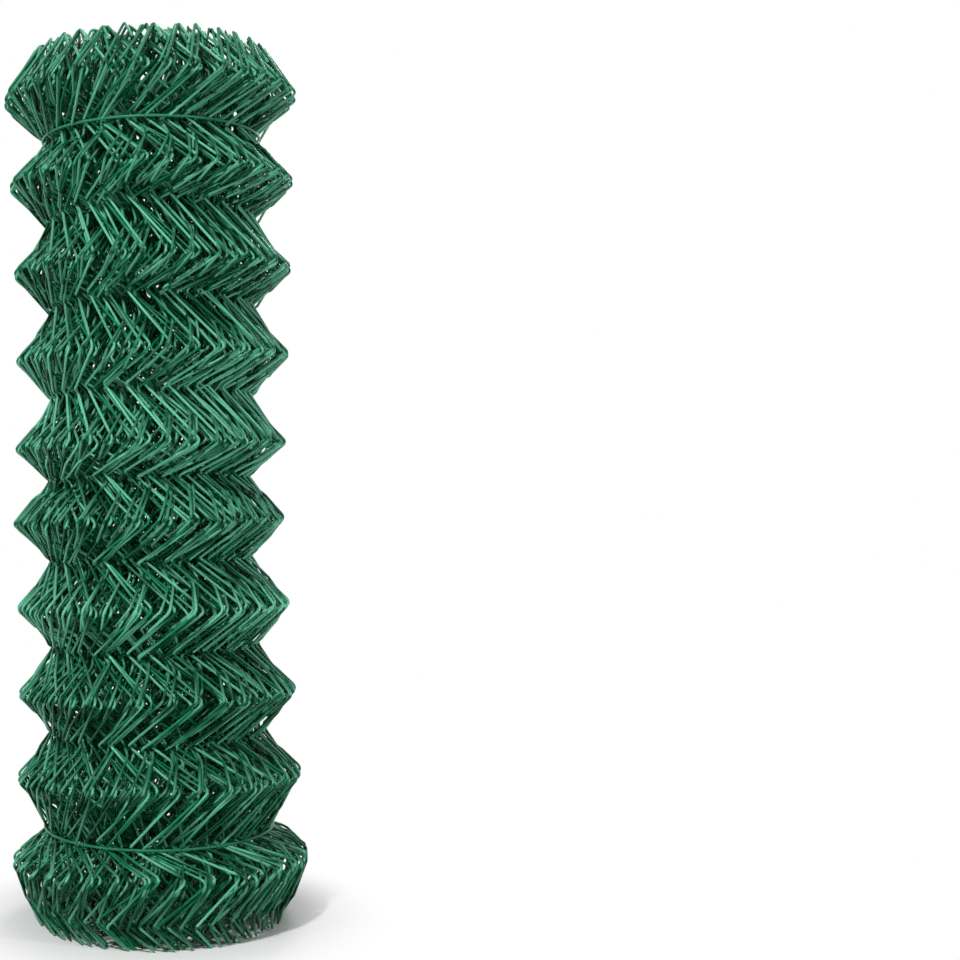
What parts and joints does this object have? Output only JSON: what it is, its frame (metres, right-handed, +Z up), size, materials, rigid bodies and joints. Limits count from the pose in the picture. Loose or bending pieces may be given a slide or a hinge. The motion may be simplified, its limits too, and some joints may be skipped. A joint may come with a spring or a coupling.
{
  "type": "roll of wire fencing",
  "caption": "Upright compact roll of green plastic-coated chain-link fencing, folded like a bellows and held by tie wires round its waist at each end.",
  "frame": {"origin": "centre of the circle that the roll stands on, on the floor", "axes": "+Z up along the roll's axis, from the end that it stands on to the other end; the picture looks along +Y"},
  "size_m": [0.281, 0.281, 0.815],
  "materials": {
    "coated_mesh": "deep green PVC coating on steel wire, glossy and slightly dusty",
    "coated_tie_wire": "green PVC coating on soft steel tie wire, a little paler than the mesh"
  },
  "bodies": {
    "root": {"fence_roll": "coated_mesh", "tie_wire_bottom": "coated_tie_wire", "tie_wire_top": "coated_tie_wire"}
  },
  "joints": []
}
